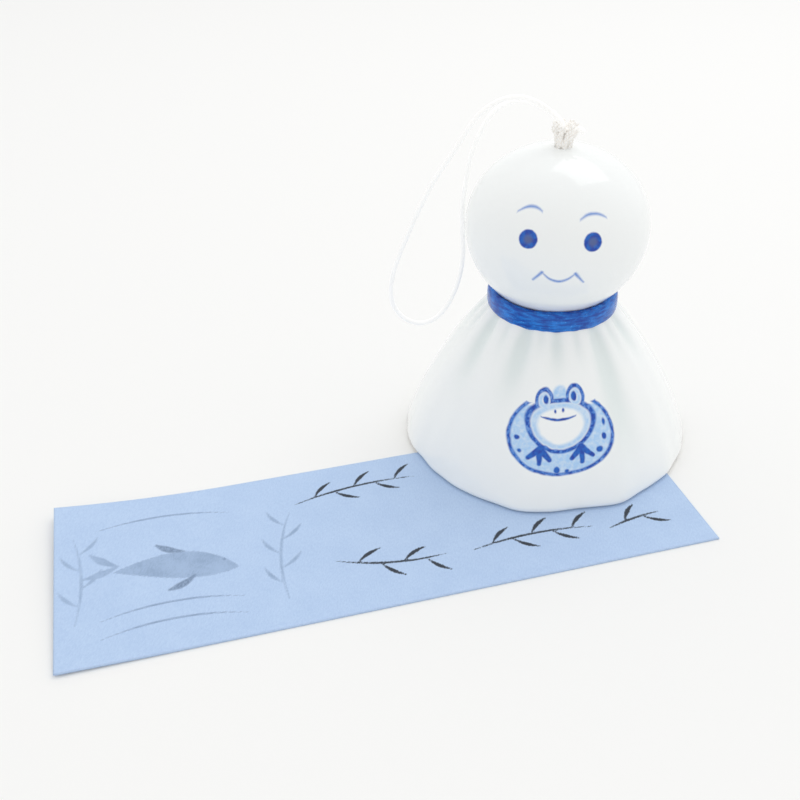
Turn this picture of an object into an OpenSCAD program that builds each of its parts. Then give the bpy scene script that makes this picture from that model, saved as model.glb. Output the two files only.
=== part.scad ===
// Porcelain wind bell shaped like a rain doll, standing on its own paper strip.
// The origin is on the bell's axis at the level of the table. +Z is up and -Y is the bell's front.

/* [Bell shell] */
// Largest radius of the round head
head_r = 25.1; // [22:0.1:30]
// Height of the head's top above its centre
head_half_h = 21.9; // [19:0.1:26]
// Depth of the fuller curve under the head's centre
head_low_h = 24.6; // [23:0.1:26]
// Height of the head's centre above the rim
head_centre_h = 67.4; // [66:0.1:82]
// Radius of the skirt just below the ribbon
waist_r = 18.2; // [16:0.1:20]
// Height of the skirt's top above the rim
waist_h = 43.6; // [40:0.1:46]
// Radius of the rim
rim_r = 42; // [38:0.1:50]
// Thickness of the porcelain wall
wall = 3; // [2:0.1:3.6]
// Radius of the hole in the crown
crown_hole_r = 2.2; // [1.9:0.1:3]
// Waviness of the rim in plan
rim_wave = 0.7; // [0:0.1:1.5]

/* [Ribbon] */
// Height of the ribbon round the neck
ribbon_h = 6.2; // [4:0.1:8]
// Thickness of the ribbon
ribbon_t = 2.8; // [1.5:0.1:4]
// How far the ribbon stands out past the skirt's top
ribbon_proud = 0.3; // [0:0.1:1]

/* [Hanging cord] */
// Diameter of the braided cord
cord_d = 1.4; // [1:0.1:1.6]
// Radius of the knot on the crown
knot_r = 3.5; // [2.8:0.1:4.5]
// Height of the knot on the crown
knot_h = 7.4; // [6:0.1:7.8]
// Radius of the bead that stops the cord inside the crown
stop_r = 5; // [4:0.1:7]
// Thickness of the stop bead
stop_t = 2; // [1:0.1:3]
// Height of the knot under the stop bead
inner_knot_h = 3.6; // [2.5:0.1:5]

/* [Clapper] */
// Diameter of the clapper's line and of the strip's thread
line_d = 1; // [0.6:0.1:1.2]
// Radius of the clapper bead
clapper_r = 8.5; // [6:0.1:8.8]
// Drop from the pivot to the middle of the clapper
clapper_drop = 55; // [50:0.1:56]
// Radius of the bore through the clapper
clapper_bore_r = 0.9; // [0.8:0.1:1.5]
// Radius of the knot under the clapper
clapper_knot_r = 1.6; // [1.2:0.1:2.5]

/* [Paper strip] */
// Length of the strip
strip_l = 171; // [140:1:220]
// Width of the strip
strip_w = 60; // [45:1:75]
// Thickness of the paper
strip_t = 0.4; // [0.3:0.05:0.6]
// Distance from the strip's end to its thread hole
hole_inset = 9; // [6:0.5:12]
// Radius of the thread hole
hole_r = 2; // [1.5:0.1:3]
// Length of the end that curls up
curl_l = 50; // [20:1:70]
// Radius of that curl
curl_r = 800; // [200:5:900]
// Radius of the knot at the thread hole
tie_r = 1.1; // [0.8:0.1:1.5]

/* [Hidden] */

PORCELAIN = [0.93, 0.95, 0.95];
COBALT = [0.1, 0.25, 0.65];
CORD = [0.95, 0.94, 0.91];
PAPER = [0.68, 0.78, 0.93];
WOOD = [0.8, 0.68, 0.5];

// gap between pieces that touch softly and belong to different moving bodies
soft_gap = 0.3;
// gap between pieces of one body that lie against each other
fit_gap = 0.02;
rim_z = strip_t;
head_z = rim_z + head_centre_h;
waist_z = rim_z + waist_h;
half_wall = wall / 2;

// Middle line of the wall, as [radius, height] points from the crown down to the rim.
head_mid_r = head_r - half_wall;
crown_angle = acos(crown_hole_r / head_mid_r);
nape_angle = -49;
function head_mid_h(a) = (a > 0 ? head_half_h : head_low_h) - half_wall;
function head_point(a) = [head_mid_r * cos(a), head_z + head_mid_h(a) * sin(a)];
function head_heading(a) =
    let (v = [head_mid_r * sin(a), -head_mid_h(a) * cos(a)]) v / norm(v);
waist_heading = [0.7, -0.714];
rim_heading = [0.28, -0.96];
function outward(heading) = [-heading[1], heading[0]];
waist_mid = [waist_r, waist_z] - half_wall * outward(waist_heading);
rim_mid = [rim_r, rim_z + half_wall] - [half_wall, 0];
function bezier(p, t) =
    pow(1 - t, 3) * p[0] + 3 * pow(1 - t, 2) * t * p[1]
    + 3 * (1 - t) * pow(t, 2) * p[2] + pow(t, 3) * p[3];
neck_pull = 3;
skirt_pull = [12, 14];
neck_curve = [
    head_point(nape_angle),
    head_point(nape_angle) + neck_pull * head_heading(nape_angle),
    waist_mid - neck_pull * waist_heading,
    waist_mid
];
skirt_curve = [
    waist_mid,
    waist_mid + skirt_pull[0] * waist_heading,
    rim_mid - skirt_pull[1] * rim_heading,
    rim_mid
];
head_steps = 11;
neck_steps = 4;
skirt_steps = 10;
middle_line = concat(
    [for (i = [0 : head_steps]) head_point(crown_angle + (nape_angle - crown_angle) * i / head_steps)],
    [for (i = [1 : neck_steps]) bezier(neck_curve, i / neck_steps)],
    [for (i = [1 : skirt_steps]) bezier(skirt_curve, i / skirt_steps)]
);
last = len(middle_line) - 1;
function middle_heading(i) =
    let (v = middle_line[min(i + 1, last)] - middle_line[max(i - 1, 0)]) v / norm(v);

// Gathered pleats below the ribbon: [azimuth, depth, half width in degrees, reach down the skirt].
PLEATS = [
    [-168, 1.2, 8, 0.7], [-132, 1.3, 8, 0.9], [-92, 1.2, 8, 0.6], [-52, 1.4, 8, 0.7],
    [-20, 1.5, 7, 0.6], [6, 1.2, 6, 0.4], [39, 1.5, 7, 1.1], [70, 1.2, 7, 0.5],
    [102, 1.3, 8, 0.9], [142, 1.4, 8, 0.6]
];
function turned(a) = a - 360 * round(a / 360);
function fade(t) = t <= 0 ? 1 : t >= 1 ? 0 : 1 - t * t * (3 - 2 * t);
function pleat(azimuth, t) = -sum_of([
    for (p = PLEATS) p[1] * exp(-pow(turned(azimuth - p[0]) / (p[2] * (1 + 0.5 * t)), 2)) * fade(t / p[3])
]);
function sum_of(v, i = 0) = i >= len(v) ? 0 : v[i] + sum_of(v, i + 1);
// The rim's slow waves: [share of the waviness, waves round the rim, start angle].
WAVES = [[0.6, 5, 20], [0.4, 8, -60]];
function wave(azimuth, t) = rim_wave * t * t * sum_of([for (w = WAVES) w[0] * cos(w[1] * azimuth + w[2])]);
// progress down the skirt of middle line point i: 0 at the waist, 1 at the rim
function skirt_share(i) = max(0, i - head_steps - neck_steps) / skirt_steps;
function pleat_onset(i) = i < head_steps + 1 ? 0 : min(1, (i - head_steps) / neck_steps);

SIDES = 72;
function ring(point, i) = [
    for (k = [0 : SIDES - 1])
        let (azimuth = 360 * k / SIDES)
        let (t = skirt_share(i))
        let (r = point[0] + pleat_onset(i) * pleat(azimuth, t) + wave(azimuth, t))
        [r * sin(azimuth), -r * cos(azimuth), point[1]]
];
lip_steps = 4;
function lip_point(angle) =
    middle_line[last] + half_wall * [cos(angle), sin(angle)];
shell_rings = concat(
    [for (i = [0 : last - 1]) ring(middle_line[i] + half_wall * outward(middle_heading(i)), i)],
    [for (j = [0 : lip_steps]) ring(lip_point(-180 * j / lip_steps), last)],
    [for (i = [last - 1 : -1 : 0]) ring(middle_line[i] - half_wall * outward(middle_heading(i)), i)]
);

// One solid from closed rings of points. Rings that wrap make a tube with no ends.
module skin(rings, wrap) {
    sides = len(rings[0]);
    count = len(rings);
    joins = wrap ? count : count - 1;
    points = [for (r = rings) for (p = r) p];
    sheet = [
        for (i = [0 : joins - 1])
            for (k = [0 : sides - 1])
                let (a = i * sides + k)
                let (b = i * sides + (k + 1) % sides)
                let (c = ((i + 1) % count) * sides + (k + 1) % sides)
                let (d = ((i + 1) % count) * sides + k)
                each [[a, b, c], [a, c, d]]
    ];
    ends = wrap ? [] : [
        [for (k = [sides - 1 : -1 : 0]) k],
        [for (k = [0 : sides - 1]) (count - 1) * sides + k]
    ];
    polyhedron(points = points, faces = concat(sheet, ends), convexity = 10);
}

// A round cord swept along a route, with rings turned to face along it.
CORD_SIDES = 8;
function spline(p, i, t) =
    let (a = p[max(i - 1, 0)])
    let (b = p[i])
    let (c = p[i + 1])
    let (d = p[min(i + 2, len(p) - 1)])
    0.5 * (2 * b + (c - a) * t + (2 * a - 5 * b + 4 * c - d) * t * t + (3 * b - a - 3 * c + d) * t * t * t);
function smooth_route(p, steps) = concat(
    [for (i = [0 : len(p) - 2]) for (j = [0 : steps - 1]) spline(p, i, j / steps)],
    [p[len(p) - 1]]
);
function unit(v) = v / norm(v);
function along(p, i) = unit(p[min(i + 1, len(p) - 1)] - p[max(i - 1, 0)]);
function carried(side, t) = unit(side - (side * t) * t);
function sides_along(p, i, start) = i == 0
    ? [carried(start, along(p, 0))]
    : let (before = sides_along(p, i - 1, start))
      concat(before, [carried(before[i - 1], along(p, i))]);
module cord(route, steps, d, start) {
    path = smooth_route(route, steps);
    side = sides_along(path, len(path) - 1, start);
    rings = [
        for (i = [0 : len(path) - 1])
            let (up = cross(along(path, i), side[i]))
            [for (k = [0 : CORD_SIDES - 1])
                let (a = -360 * k / CORD_SIDES)
                path[i] + d / 2 * (cos(a) * side[i] + sin(a) * up)]
    ];
    skin(rings, false);
}

// Points on the axis, from the crown down to the clapper.
crown_top_z = head_z + head_half_h;
crown_inner_r = head_r - wall;
crown_inner_h = head_half_h - wall;
function crown_inner_z(r) = head_z + crown_inner_h * sqrt(1 - pow(r / crown_inner_r, 2));
stop_top_z = crown_inner_z(stop_r) - fit_gap;
inner_knot_top_z = stop_top_z - stop_t;
line_knot_r = 1.2;
inner_knot_r = 2.6;
pivot_z = inner_knot_top_z - inner_knot_h - soft_gap - line_knot_r;
clapper_z = pivot_z - clapper_drop;
clapper_collar_r = 3;
clapper_collar_h = 1.5;
// the knot closes the bore's lower mouth
clapper_mouth_z = clapper_z - sqrt(pow(clapper_r, 2) - pow(clapper_bore_r, 2));
clapper_knot_z = clapper_mouth_z - sqrt(pow(clapper_knot_r, 2) - pow(clapper_bore_r, 2)) - fit_gap;
thread_top_z = clapper_knot_z - clapper_knot_r - soft_gap;
// The knot's rounded foot sits a little way down in the mouth of the crown hole.
knot_sink = 0.6;
knot_aside = 0.4;
knot_low_z = crown_top_z - knot_sink;

// Where the strip lies: its thread hole, and the angle of its length seen from above.
hole_at = [28, -23];
strip_angle = 24;
curl_angle = curl_l / curl_r * 180 / PI;

// Height of the crown knot's foot that the two cord routes are laid out for.
routed_knot_z = 89.1;
// Route of the hanging cord, from the crown knot out to the loop's end and back.
LOOP_ROUTE = [
    [-2, -0.8, 97.3], [-4, -0.8, 99.2], [-7.2, -0.8, 101.2], [-11.5, -0.8, 102.3], [-16.5, -0.9, 101.4],
    [-21.6, -1, 97.8], [-25.8, -1, 91.8], [-29.6, -1, 85.6], [-33.8, -1, 79], [-37.4, -1, 71.8],
    [-40.6, -1, 64.4], [-43.6, -1, 56.8], [-45.9, -1, 49.4], [-46.4, -0.8, 42.2], [-43.8, -0.2, 36.4],
    [-38.6, 0.4, 33.8], [-33.2, 1.2, 35.8], [-29.4, 2.2, 41.2], [-27, 2.8, 48.2], [-26, 3, 55.6],
    [-26.2, 3, 63], [-26.3, 3, 70.4], [-25.4, 2.8, 77.6], [-24.2, 2.2, 84.8], [-21.8, 1.4, 91.8],
    [-18.4, 1, 97.6], [-14, 0.8, 100.6], [-9.6, 0.8, 100.9], [-5.4, 0.8, 99.4], [-2, 0.8, 97.2]
];
// Route of the thread from under the clapper to the knot at the strip's hole.
THREAD_ROUTE = [
    [0, 0, thread_top_z], [0.1, 0, 9.6], [0, -0.4, 6.6], [-0.2, -1.4, 3.8], [0, -3.4, 1.8], [1.6, -6.4, 1.2],
    [4.4, -9, 1.1], [8.2, -9.6, 1.1], [11.6, -7.8, 1.1], [14.8, -7, 1.1], [17.8, -8.6, 1.1],
    [19.4, -11.8, 1.1], [20.4, -15.4, 1.1], [22.2, -18.4, 1.2], [24.6, -20.4, 1.4], [26.8, -22.1, 1.7]
];
TAIL_ROUTE = [[3.2, -0.6, 94.4], [4.2, -1, 94.6], [5, -1.5, 94]];

module bell_shell() {
    color(PORCELAIN) skin(shell_rings, true);
}

// The band sits on the narrowest part of the neck, round at its outer edges.
ribbon_round = 1.2;
ribbon_in_r = waist_r + ribbon_proud - ribbon_t;
ribbon_lap = 1;
ribbon_low_z = waist_z - ribbon_lap;
module neck_ribbon() {
    color(COBALT)
        translate([0, 0, ribbon_low_z])
        rotate_extrude($fn = 96) {
            translate([ribbon_in_r, ribbon_round])
                square([ribbon_t, ribbon_h - 2 * ribbon_round]);
            translate([ribbon_in_r, 0])
                square([ribbon_t - ribbon_round, ribbon_h]);
            for (z = [ribbon_round, ribbon_h - ribbon_round])
                translate([ribbon_in_r + ribbon_t - ribbon_round, z])
                circle(ribbon_round, $fn = 32);
        }
}

// A barrel with rounded ends, standing on z = 0: how each small knot is drawn here.
barrel_roundness = 0.8;
module barrel(r, h) {
    round_r = min(r, h / 2) * barrel_roundness;
    rotate_extrude($fn = 48)
        intersection() {
            hull()
                for (z = [round_r, h - round_r])
                    translate([r - round_r, z])
                    circle(round_r, $fn = 48);
            translate([0, -h])
                square([2 * r, 3 * h]);
        }
}

module top_knot() {
    color(CORD) translate([knot_aside, 0, knot_low_z]) barrel(knot_r, knot_h);
}

module cord_tail() {
    color(CORD) translate([0, 0, knot_low_z - routed_knot_z]) cord(TAIL_ROUTE, 2, cord_d, [0, 1, 0]);
}

module hanging_loop() {
    color(CORD) translate([0, 0, knot_low_z - routed_knot_z]) cord(LOOP_ROUTE, 2, cord_d, [0, 1, 0]);
}

// Both strands run side by side through the crown hole and the stop bead.
module crown_strands() {
    low_z = inner_knot_top_z + fit_gap;
    color(CORD)
        for (side = [-1, 1])
            translate([side * (cord_d / 2 + fit_gap), 0, low_z])
            cylinder(r = cord_d / 2, h = knot_low_z - low_z, $fn = 32);
}

stop_bore_room = 0.2;
stop_bore_r = cord_d + stop_bore_room;
module stop_bead() {
    color(WOOD)
        translate([0, 0, inner_knot_top_z])
        difference() {
            cylinder(r = stop_r, h = stop_t, $fn = 64);
            translate([0, 0, -stop_t])
                cylinder(r = stop_bore_r, h = 3 * stop_t, $fn = 48);
        }
}

module inner_knot() {
    color(CORD) translate([0, 0, inner_knot_top_z - inner_knot_h]) barrel(inner_knot_r, inner_knot_h);
}

module line_knot() {
    color(CORD) translate([0, 0, pivot_z]) sphere(line_knot_r, $fn = 48);
}

line_top_z = pivot_z - line_knot_r - soft_gap;
module clapper_line() {
    low_z = clapper_knot_z + clapper_knot_r;
    color(CORD) translate([0, 0, low_z]) cylinder(d = line_d, h = line_top_z - low_z, $fn = 32);
}

module clapper() {
    color(PORCELAIN)
        translate([0, 0, clapper_z])
        difference() {
            union() {
                sphere(clapper_r, $fn = 96);
                cylinder(r = clapper_collar_r, h = clapper_r + clapper_collar_h, $fn = 64);
            }
            translate([0, 0, -2 * clapper_r])
                cylinder(r = clapper_bore_r, h = 4 * clapper_r, $fn = 48);
        }
}

module clapper_knot() {
    color(CORD)
        translate([0, 0, clapper_knot_z])
        sphere(clapper_knot_r, $fn = 48);
}

module strip_thread() {
    color(CORD) cord(THREAD_ROUTE, 1, line_d, [0, 1, 0]);
}

tie_z = strip_t + soft_gap + tie_r;
module strip_knot() {
    color(CORD) translate([hole_at[0], hole_at[1], tie_z]) sphere(tie_r, $fn = 48);
}

// Side view of the strip, from the hole's end (x = 0) to the end that curls up.
curl_steps = 12;
flat_l = strip_l - curl_l;
function curl_point(r, i) =
    let (a = curl_angle * i / curl_steps)
    [-flat_l - r * sin(a), curl_r - r * cos(a)];
module strip_profile() {
    polygon(concat(
        [[0, 0]],
        [for (i = [0 : curl_steps]) curl_point(curl_r, i)],
        [for (i = [curl_steps : -1 : 0]) curl_point(curl_r - strip_t, i)],
        [[0, strip_t]]
    ));
}
module paper_strip() {
    color(PAPER)
        translate([hole_at[0], hole_at[1], 0])
        rotate([0, 0, strip_angle])
        difference() {
            translate([hole_inset, strip_w / 2, 0])
                rotate([90, 0, 0])
                linear_extrude(strip_w)
                strip_profile();
            translate([0, 0, -strip_t])
                cylinder(r = hole_r, h = 3 * strip_t, $fn = 48);
        }
}

bell_shell();
neck_ribbon();
top_knot();
cord_tail();
hanging_loop();
crown_strands();
stop_bead();
inner_knot();
line_knot();
clapper_line();
clapper();
clapper_knot();
strip_thread();
strip_knot();
paper_strip();
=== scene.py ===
import math

import bpy
import numpy as np
from mathutils import Matrix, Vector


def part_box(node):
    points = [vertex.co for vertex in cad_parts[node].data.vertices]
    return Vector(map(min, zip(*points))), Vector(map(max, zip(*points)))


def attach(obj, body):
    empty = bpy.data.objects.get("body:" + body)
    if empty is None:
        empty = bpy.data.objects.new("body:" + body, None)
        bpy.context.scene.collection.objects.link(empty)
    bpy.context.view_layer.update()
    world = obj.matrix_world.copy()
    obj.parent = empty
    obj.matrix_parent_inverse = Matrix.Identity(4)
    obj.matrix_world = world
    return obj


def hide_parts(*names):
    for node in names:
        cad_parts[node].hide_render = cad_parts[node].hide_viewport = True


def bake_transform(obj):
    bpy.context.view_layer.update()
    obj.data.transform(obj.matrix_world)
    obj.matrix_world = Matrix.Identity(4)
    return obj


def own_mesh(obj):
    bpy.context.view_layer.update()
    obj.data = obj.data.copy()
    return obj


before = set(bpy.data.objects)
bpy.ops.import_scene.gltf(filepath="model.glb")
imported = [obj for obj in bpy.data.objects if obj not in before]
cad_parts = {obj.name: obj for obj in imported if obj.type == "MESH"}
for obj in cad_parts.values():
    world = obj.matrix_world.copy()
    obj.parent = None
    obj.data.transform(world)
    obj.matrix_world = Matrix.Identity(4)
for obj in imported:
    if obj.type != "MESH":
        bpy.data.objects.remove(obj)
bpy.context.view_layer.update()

MM = 0.001


# ---------------------------------------------------------------------------
# The studio: a white table top under a large soft light, and the camera in
# front of the bell, a little above it. The table stays behind when the bell is
# lifted off it, so it drops away as the paper strip is lowered.

TABLE_SPAN = 3.0
TABLE_GAP = 0.05
CAMERA_DISTANCE = 0.26483
CAMERA_HEIGHT = 0.18272
CAMERA_TURN = 9.58
CAMERA_DIP = 33.32
CAMERA_ROLL = -1.33
CAMERA_LENS = 46.23

scene = bpy.context.scene
scene.view_settings.view_transform = "Standard"

lens = bpy.data.cameras.new("camera")
lens.lens = CAMERA_LENS
lens.clip_start = 0.01
camera = bpy.data.objects.new("camera", lens)
scene.collection.objects.link(camera)
camera.matrix_world = (
    Matrix.Translation((0, -CAMERA_DISTANCE, CAMERA_HEIGHT))
    @ Matrix.Rotation(math.radians(CAMERA_TURN), 4, "Z")
    @ Matrix.Rotation(math.radians(90 - CAMERA_DIP), 4, "X")
    @ Matrix.Rotation(math.radians(CAMERA_ROLL), 4, "Z")
)
scene.camera = camera


def soft_light(name, place, aim, size, power, colour):
    """A square area light at place, turned to face aim."""
    lamp = bpy.data.lights.new(name, "AREA")
    lamp.shape = "SQUARE"
    lamp.size = size
    lamp.energy = power
    lamp.color = colour
    light = bpy.data.objects.new(name, lamp)
    scene.collection.objects.link(light)
    light.location = place
    back = np.subtract(place, aim)
    light.rotation_euler = (
        math.atan2(math.hypot(back[0], back[1]), back[2]),
        0,
        math.atan2(back[0], -back[1]),
    )


soft_light("ceiling", (0.25, 0.4, 0.9), (0, 0, 0.03), 0.6, 1.35, (1.0, 1.0, 0.99))


def shown(name, points, faces, smooth=True):
    """A mesh object at the origin from points in millimetres and faces of point numbers."""
    mesh = bpy.data.meshes.new(name)
    mesh.from_pydata((np.asarray(points) * MM).tolist(), [], [list(f) for f in faces])
    mesh.shade_smooth() if smooth else mesh.shade_flat()
    piece = bpy.data.objects.new(name, mesh)
    scene.collection.objects.link(piece)
    return piece


table_half = TABLE_SPAN / 2 / MM
table = shown(
    "table_top",
    [(-table_half, -table_half, -TABLE_GAP), (table_half, -table_half, -TABLE_GAP),
     (table_half, table_half, -TABLE_GAP), (-table_half, table_half, -TABLE_GAP)],
    [(0, 1, 2, 3)],
    smooth=False,
)
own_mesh(table)


class Wire:
    """One output socket of a finish. Arithmetic on wires and numbers adds Math nodes."""

    def __init__(self, finish, socket):
        self.finish = finish
        self.socket = socket

    def maths(self, operation, *others):
        return self.finish.node(
            "ShaderNodeMath", {"operation": operation}, dict(enumerate((self, *others)))
        )

    def __add__(self, other):
        return self.maths("ADD", other)

    def __sub__(self, other):
        return self.maths("SUBTRACT", other)

    def __rsub__(self, other):
        return self.finish.node("ShaderNodeMath", {"operation": "SUBTRACT"}, {0: other, 1: self})

    def __mul__(self, other):
        return self.maths("MULTIPLY", other)

    def __truediv__(self, other):
        return self.maths("DIVIDE", other)

    def __pow__(self, other):
        return self.maths("POWER", other)

    def __abs__(self):
        return self.maths("ABSOLUTE")

    __radd__ = __add__
    __rmul__ = __mul__


class Nodes:
    """A node tree that is built by expressions, ending in one shader."""

    def __init__(self, owner, shader):
        owner.use_nodes = True
        self.tree = owner.node_tree
        self.shader = self.tree.nodes[shader]

    def node(self, kind, settings=None, inputs=None, out=0):
        """Adds a node: its settings first, then the value or link of each socket."""
        made = self.tree.nodes.new(kind)
        for key, value in (settings or {}).items():
            setattr(made, key, value)
        for key, value in (inputs or {}).items():
            self.feed(made.inputs[key], value)
        return Wire(self, made.outputs[out])

    def feed(self, socket, value):
        if isinstance(value, Wire):
            self.tree.links.new(value.socket, socket)
        else:
            socket.default_value = value

    def paint(self, socket, value):
        self.feed(self.shader.inputs[socket], value)

    def place(self, kind="Object", scale=1 / MM):
        """Coordinates as three wires: by default Object coordinates in millimetres."""
        here = self.node("ShaderNodeTexCoord", out=kind)
        grown = self.node("ShaderNodeVectorMath", {"operation": "SCALE"}, {0: here, "Scale": scale})
        parts = self.tree.nodes.new("ShaderNodeSeparateXYZ")
        self.feed(parts.inputs[0], grown)
        return [Wire(self, parts.outputs[i]) for i in range(3)]

    def joined(self, x, y, z=0.0):
        return self.node("ShaderNodeCombineXYZ", None, {0: x, 1: y, 2: z})

    def noise(self, where, scale, detail=2.0, roughness=0.5):
        return self.node(
            "ShaderNodeTexNoise", None,
            {"Vector": where, "Scale": scale, "Detail": detail, "Roughness": roughness},
        )

    def blend(self, share, first, second):
        """A colour between two colours."""
        return self.node(
            "ShaderNodeMix", {"data_type": "RGBA"},
            {"Factor": share, 6: first, 7: second}, out=2,
        )

    def ramp(self, value, low, high, start=0.0, end=1.0):
        """start below low, end above high, and a smooth rise between."""
        return self.node(
            "ShaderNodeMapRange", {"interpolation_type": "SMOOTHSTEP"},
            {0: value, 1: low, 2: high, 3: start, 4: end},
        )

    def bump(self, height, strength, distance):
        self.paint("Normal", self.node(
            "ShaderNodeBump", None,
            {"Height": height, "Strength": strength, "Distance": distance},
        ))


class Finish(Nodes):
    """A material with one Principled shader and the steady values of its sockets."""

    def __init__(self, name, **steady):
        self.material = bpy.data.materials.new(name)
        super().__init__(self.material, "Principled BSDF")
        for socket, value in steady.items():
            self.shader.inputs[socket.replace("_", " ")].default_value = value


# the room is white all round, brightest overhead and behind the bell
world = bpy.data.worlds.new("studio")
scene.world = world
room = Nodes(world, "Background")
x, y, z = room.place("Generated", 1.0)
overhead = z.maths("MAXIMUM", 0.0)
behind = room.ramp(y, -0.5, 0.6)
room.paint("Strength", overhead * 0.06 + behind * 0.18 + 0.82)
room.paint("Color", (1.0, 1.0, 1.0, 1.0))

white_table = Finish("white_table_top", Roughness=0.9, Base_Color=(0.91, 0.91, 0.9, 1))
table.data.materials.append(white_table.material)


# ---------------------------------------------------------------------------
# The bell: one slip-cast porcelain shell, head and skirt together, with a wall
# of even thickness round a middle line. The skirt is gathered into pleats under
# the neck. It is open below, and the crown has a small hole for the cord.

RIM_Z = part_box("bell_shell")[0][2] / MM
WALL = 3.0
HALF_WALL = WALL / 2
HEAD_R = 25.1
HEAD_HALF_H = 21.9
HEAD_LOW_H = 24.6
HEAD_Z = RIM_Z + 67.4
WAIST = np.array([18.2, RIM_Z + 43.6])
RIM = np.array([42.0, RIM_Z + HALF_WALL])
CROWN_HOLE_R = 2.2
RIM_WAVE = 0.7
WAIST_HEADING = np.array([0.7, -0.714])
RIM_HEADING = np.array([0.28, -0.96])
NAPE_ANGLE = -49.0
COLUMNS = 384
HEAD_ROWS, NECK_ROWS, SKIRT_ROWS, LIP_ROWS = 62, 12, 66, 10
INSIDE_STEP = 2

# Each pleat: azimuth at the neck, lean, depth, half width (degrees) and reach down the skirt.
PLEATS = np.array([
    (-168, -4, 1.2, 8, 0.7), (-132, 3, 1.3, 8, 0.9), (-92, 3, 1.2, 8, 0.6), (-56, 9, 1.5, 6, 0.75),
    (-19, -4, 1.6, 6, 0.65), (6, 3, 1.3, 5, 0.42), (40, -2, 1.6, 6, 1.15), (70, 2, 1.3, 6, 0.5),
    (102, 0, 1.3, 8, 0.9), (142, -4, 1.4, 8, 0.6), (-37, 6, 0.7, 3.5, 0.35), (-6, 1, 0.7, 3.5, 0.26),
    (22, 0, 0.8, 3.5, 0.36), (55, 2, 0.8, 4, 0.45), (-75, 2, 0.8, 4, 0.4), (-112, 3, 0.7, 4, 0.35),
    (120, 2, 0.8, 4, 0.4), (165, 2, 0.7, 4, 0.35),
])
# Soft corners of the rim, pushed out or in while the clay was damp: azimuth, push, half width.
RIM_CORNERS = np.array([(-11, 1.3, 14), (17, -0.5, 9), (30, 1.4, 10), (61, -0.9, 14), (-75, -0.5, 20)])
# Slow folds in the lower skirt: depth, number round the bell, start angle.
FOLDS = [(0.30, 11, 0.6), (0.20, 17, 2.2), (0.12, 26, 4.0)]


def bezier(ends, t):
    """Points on the cubic curve with these four control points, at shares t of its way."""
    t = np.asarray(t)[:, None]
    a, b, c, d = (np.asarray(p)[None] for p in ends)
    return (1 - t) ** 3 * a + 3 * (1 - t) ** 2 * t * b + 3 * (1 - t) * t ** 2 * c + t ** 3 * d


def outward(heading):
    """The heading turned a quarter left, away from the axis."""
    return np.stack([-heading[..., 1], heading[..., 0]], -1)


def wall_middle():
    """The wall's middle line from crown to rim: an ellipse arc, a short neck curve and the
    skirt's curve. Also each point's share of the way down the skirt and how fully it pleats."""
    mid_r = HEAD_R - HALF_WALL
    crown_angle = math.degrees(math.acos(CROWN_HOLE_R / mid_r))
    turn = np.radians(np.linspace(crown_angle, NAPE_ANGLE, HEAD_ROWS))
    mid_h = np.where(turn > 0, HEAD_HALF_H, HEAD_LOW_H) - HALF_WALL
    head = np.stack([mid_r * np.cos(turn), HEAD_Z + mid_h * np.sin(turn)], 1)
    nape_heading = np.array([mid_r * math.sin(turn[-1]), -mid_h[-1] * math.cos(turn[-1])])
    nape_heading /= np.linalg.norm(nape_heading)
    waist = WAIST - HALF_WALL * outward(WAIST_HEADING)
    rim = RIM - (HALF_WALL, 0)
    neck_t = np.linspace(0, 1, NECK_ROWS + 1)[1:]
    skirt_t = np.linspace(0, 1, SKIRT_ROWS + 1)[1:]
    neck = bezier((head[-1], head[-1] + 3 * nape_heading, waist - 3 * WAIST_HEADING, waist), neck_t)
    skirt = bezier((waist, waist + 12 * WAIST_HEADING, rim - 14 * RIM_HEADING, rim), skirt_t)
    share = np.concatenate([0 * turn, 0 * neck_t, skirt_t])
    onset = np.concatenate([0 * turn, neck_t, 1 + 0 * skirt_t])
    return np.concatenate([head, neck, skirt]), share, onset


def pleat_depth(azimuth, share):
    """Sum of the pleats' grooves: each is a bell curve across, leaning as it goes down, that
    opens and fades out towards its reach."""
    total = 0
    opening = 0.55 + 0.45 * np.clip(share / 0.1, 0, 1)
    for at, lean, depth, half_width, reach in PLEATS:
        across = (azimuth - at - lean * share + 180) % 360 - 180
        left = np.clip(1 - share / reach, 0, 1)
        groove = np.exp(-(across / (half_width * (1 + 0.9 * share))) ** 2)
        total = total + depth * opening * left ** 2 * (3 - 2 * left) * groove
    return total


def closed_rings(rings, wrap):
    """Faces between rings of points (rings x sides); wrap also joins the last ring to the first."""
    count, sides = rings
    joins = count if wrap else count - 1
    row = np.arange(joins)[:, None] * sides
    following = ((np.arange(joins)[:, None] + 1) % count) * sides
    side = np.arange(sides)[None]
    beside = (side + 1) % sides
    return np.stack([row + side, row + beside, following + beside, following + side], -1).reshape(-1, 4)


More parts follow.
